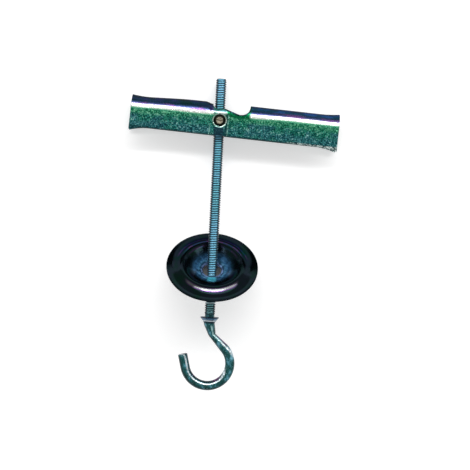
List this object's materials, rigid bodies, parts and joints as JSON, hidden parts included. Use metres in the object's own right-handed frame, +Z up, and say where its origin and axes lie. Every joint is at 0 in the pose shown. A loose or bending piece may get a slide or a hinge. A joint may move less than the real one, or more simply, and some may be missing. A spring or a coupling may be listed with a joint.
{
  "type": "toggle anchor",
  "caption": "Gravity toggle anchor with a threaded hook bolt, a dished cover washer and a folded channel bar that pivots on a trunnion nut.",
  "frame": {"origin": "on the floor, at the middle of the bounding box's base, with the anchor lying down as it comes to rest", "axes": "+Y along the rod towards its free end, seen from above; +X along the bar's longer arm; +Z up"},
  "size_m": [0.0958, 0.1414, 0.0339],
  "materials": {
    "hook_bolt": "bright zinc plate with a blue-green tint",
    "cover_washer": "dark glossy plated pressing",
    "trunnion_nut": "turned brass",
    "toggle_bar": "zinc plate with a green and blue tint"
  },
  "bodies": {
    "washer": {"cover_washer": "cover_washer"},
    "bolt": {"hook_bolt": "hook_bolt"},
    "nut": {"trunnion_nut": "trunnion_nut"},
    "bar": {"toggle_bar": "toggle_bar"}
  },
  "joints": [
    {"name": "hook_turn", "type": "hinge", "parent": "washer", "child": "bolt", "pos_m": [-0.0068, 0.05151, 0.00653], "axis": [-0.0005, 0.9914, -0.1308], "range_deg": [-5130, 7470]},
    {"name": "nut_travel", "type": "slide", "parent": "washer", "child": "nut", "axis": [-0.0005, 0.9914, -0.1308], "range_m": [-0.02196, 0.01508]},
    {"name": "bar_pivot", "type": "hinge", "parent": "nut", "child": "bar", "pos_m": [-0.0068, 0.05151, 0.00653], "axis": [0.0076, 0.1308, 0.9914], "range_deg": [-1, 52]}
  ],
  "couplings": [
    {"joint": "hook_turn", "follows": "nut_travel", "rad_per_m": -5936.9}
  ]
}
